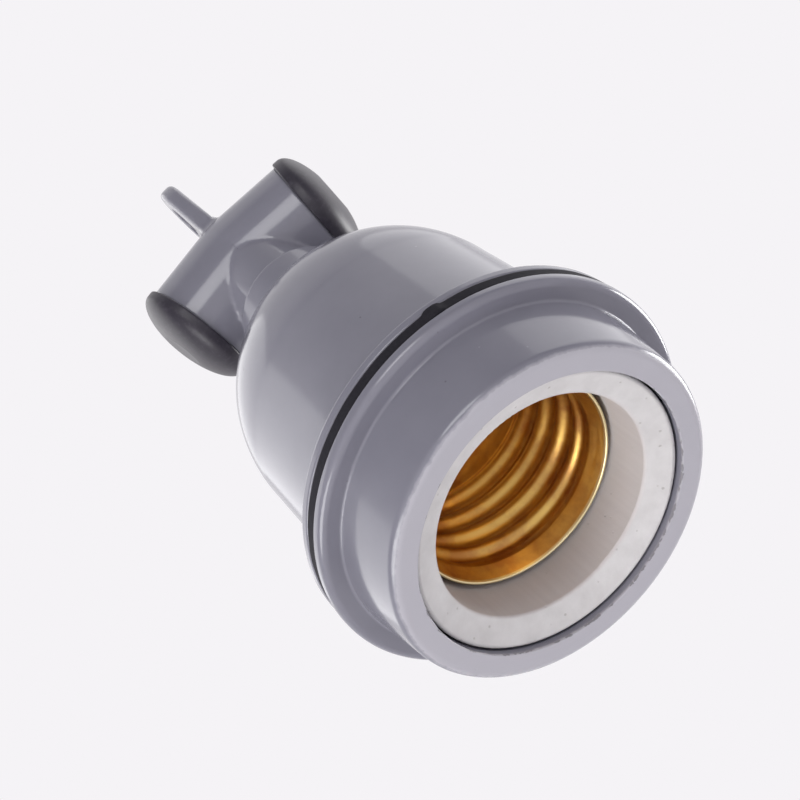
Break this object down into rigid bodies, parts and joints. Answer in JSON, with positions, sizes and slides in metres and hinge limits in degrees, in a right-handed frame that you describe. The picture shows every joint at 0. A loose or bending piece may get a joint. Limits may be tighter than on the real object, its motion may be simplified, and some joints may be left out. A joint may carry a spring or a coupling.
{
  "type": "ceramic lamp holder",
  "caption": "Hanging lamp holder: painted metal bell with cross tube, rubber caps and hanging eye, screwed front ring, gasket and ceramic body with a brass screw shell.",
  "frame": {"origin": "centre of the front lip, in the plane of the lip that the holder can stand on", "axes": "+Z along the lamp's axis from the mouth to the hanging eye, +X along the cross tube, +Y completes the right-handed frame"},
  "size_m": [0.0514, 0.0514, 0.0906],
  "materials": {
    "grey_paint": "glossy grey paint over cast metal",
    "black_rubber": "smooth black rubber with a soft sheen",
    "white_ceramic": "unglazed white ceramic with fine pits",
    "shell_brass": "rolled sheet brass, bright",
    "terminal_brass": "turned and milled brass",
    "contact_bronze": "hard rolled bronze strip",
    "plated_steel": "plated steel"
  },
  "bodies": {
    "housing_body": {"housing": "grey_paint", "ceramic_body": "white_ceramic", "screw_shell": "shell_brass", "shell_rivets": "terminal_brass", "neutral_rivet": "terminal_brass", "live_rivet": "terminal_brass", "contact_tongue": "contact_bronze", "live_terminal": "terminal_brass", "neutral_terminal": "terminal_brass", "live_clamp_screw": "plated_steel", "neutral_clamp_screw": "plated_steel", "earth_screw": "plated_steel", "earth_washer": "plated_steel", "left_cap": "black_rubber", "right_cap": "black_rubber"},
    "gasket_body": {"gasket": "black_rubber"},
    "ring_body": {"front_ring": "grey_paint"},
    "contact_tip_body": {"contact_tip": "terminal_brass"}
  },
  "joints": [
    {"name": "collar_advance", "type": "slide", "parent": "housing_body", "child": "gasket_body", "axis": [0, 0, -1], "range_m": [0, 0.006]},
    {"name": "collar_turn", "type": "hinge", "parent": "gasket_body", "child": "ring_body", "pos_m": [0, 0, 0.01], "axis": [0, 0, -1], "range_deg": [0, 1441]},
    {"name": "contact_press", "type": "slide", "parent": "housing_body", "child": "contact_tip_body", "axis": [0, 0, 1], "range_m": [0, 0.0012], "stiffness_N_per_m": 4000, "deforming": ["contact_tongue"]}
  ],
  "couplings": [
    {"joint": "collar_turn", "follows": "collar_advance", "rad_per_m": 4188.8}
  ]
}
